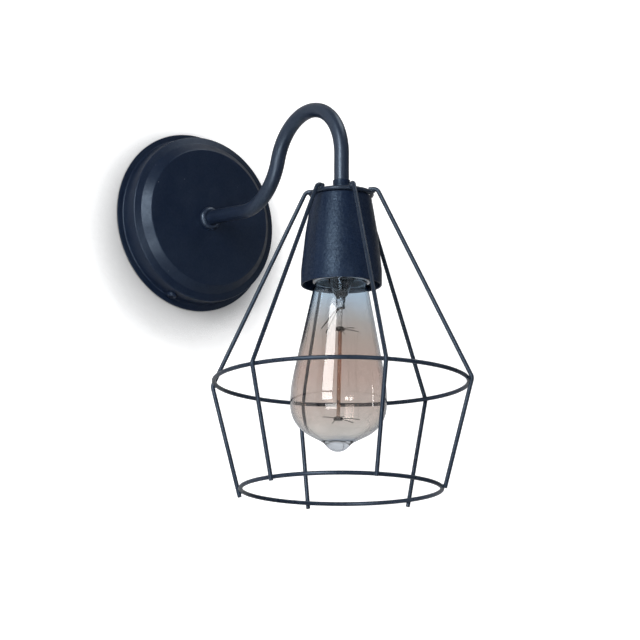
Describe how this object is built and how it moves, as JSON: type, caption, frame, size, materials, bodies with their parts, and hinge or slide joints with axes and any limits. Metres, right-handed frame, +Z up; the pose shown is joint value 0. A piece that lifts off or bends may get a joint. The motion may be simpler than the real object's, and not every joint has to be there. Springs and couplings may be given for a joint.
{
  "type": "cage wall light",
  "caption": "Wall light with a round stepped wall plate, a bent swan-neck arm, a tapered lamp cup, an open wire cage and a teardrop-shaped filament bulb.",
  "frame": {"origin": "centre of the wall plate's rear face, on the wall, in the middle between the two wall fixing holes", "axes": "+Y into the wall, -Y out from the wall towards the lamp, +Z up, +X to the right when facing the wall"},
  "size_m": [0.1718, 0.2632, 0.2808],
  "materials": {
    "navy_paint": "satin, slightly orange-peeled paint",
    "zinc_steel": "zinc-plated",
    "brass": "machined",
    "block_plastic": "moulded",
    "brown_sheath": "flexible lead",
    "blue_sheath": "flexible lead",
    "green_sheath": "flexible lead",
    "white_nylon": "moulded",
    "bakelite": "moulded, satin",
    "porcelain": "glazed",
    "bright_ring": "bright rolled",
    "bulb_glass": "clear, smoked amber",
    "inner_glass": "clear",
    "nickel": "nickel plated",
    "tungsten": "dark drawn wire",
    "black_glass": "fused"
  },
  "bodies": {
    "fitting": {"wall_bracket": "zinc_steel", "wall_plate": "navy_paint", "plate_screws": "navy_paint", "terminal_block": "block_plastic", "block_screws": "zinc_steel", "terminal_sleeves": "brass", "clamp_screws": "brass", "earth_tag": "brass", "earth_screw": "brass", "live_lead": "brown_sheath", "neutral_lead": "blue_sheath", "earth_lead": "green_sheath", "arm_tube": "navy_paint", "arm_collar": "navy_paint", "arm_washer": "zinc_steel", "arm_lock_nut": "zinc_steel", "arm_bush": "white_nylon", "cup_ferrule": "navy_paint", "lamp_cup": "navy_paint", "cup_washer": "zinc_steel", "cup_lock_nut": "zinc_steel", "holder_cap": "bakelite", "contact_block": "porcelain", "holder_screws": "brass", "centre_contact": "brass", "screw_shell": "brass", "holder_skirt": "bakelite", "holder_ring": "bright_ring", "cage_top_ring": "navy_paint", "cage_middle_ring": "navy_paint", "cage_bottom_ring": "navy_paint", "cage_rib_1": "navy_paint", "cage_rib_2": "navy_paint", "cage_rib_3": "navy_paint", "cage_rib_4": "navy_paint", "cage_rib_5": "navy_paint", "cage_rib_6": "navy_paint"},
    "bulb": {"bulb_button": "nickel", "bulb_insulator": "black_glass", "bulb_cap": "nickel", "bulb_glass": "bulb_glass", "bulb_stem": "inner_glass", "bulb_rod": "inner_glass", "bulb_lead_wires": "nickel", "bulb_hooks": "tungsten", "bulb_filament": "tungsten"}
  },
  "joints": [
    {"name": "bulb_out", "type": "slide", "parent": "fitting", "child": "bulb", "axis": [-0.0155, 0.0113, -0.9998], "range_m": [0, 0.172]}
  ]
}
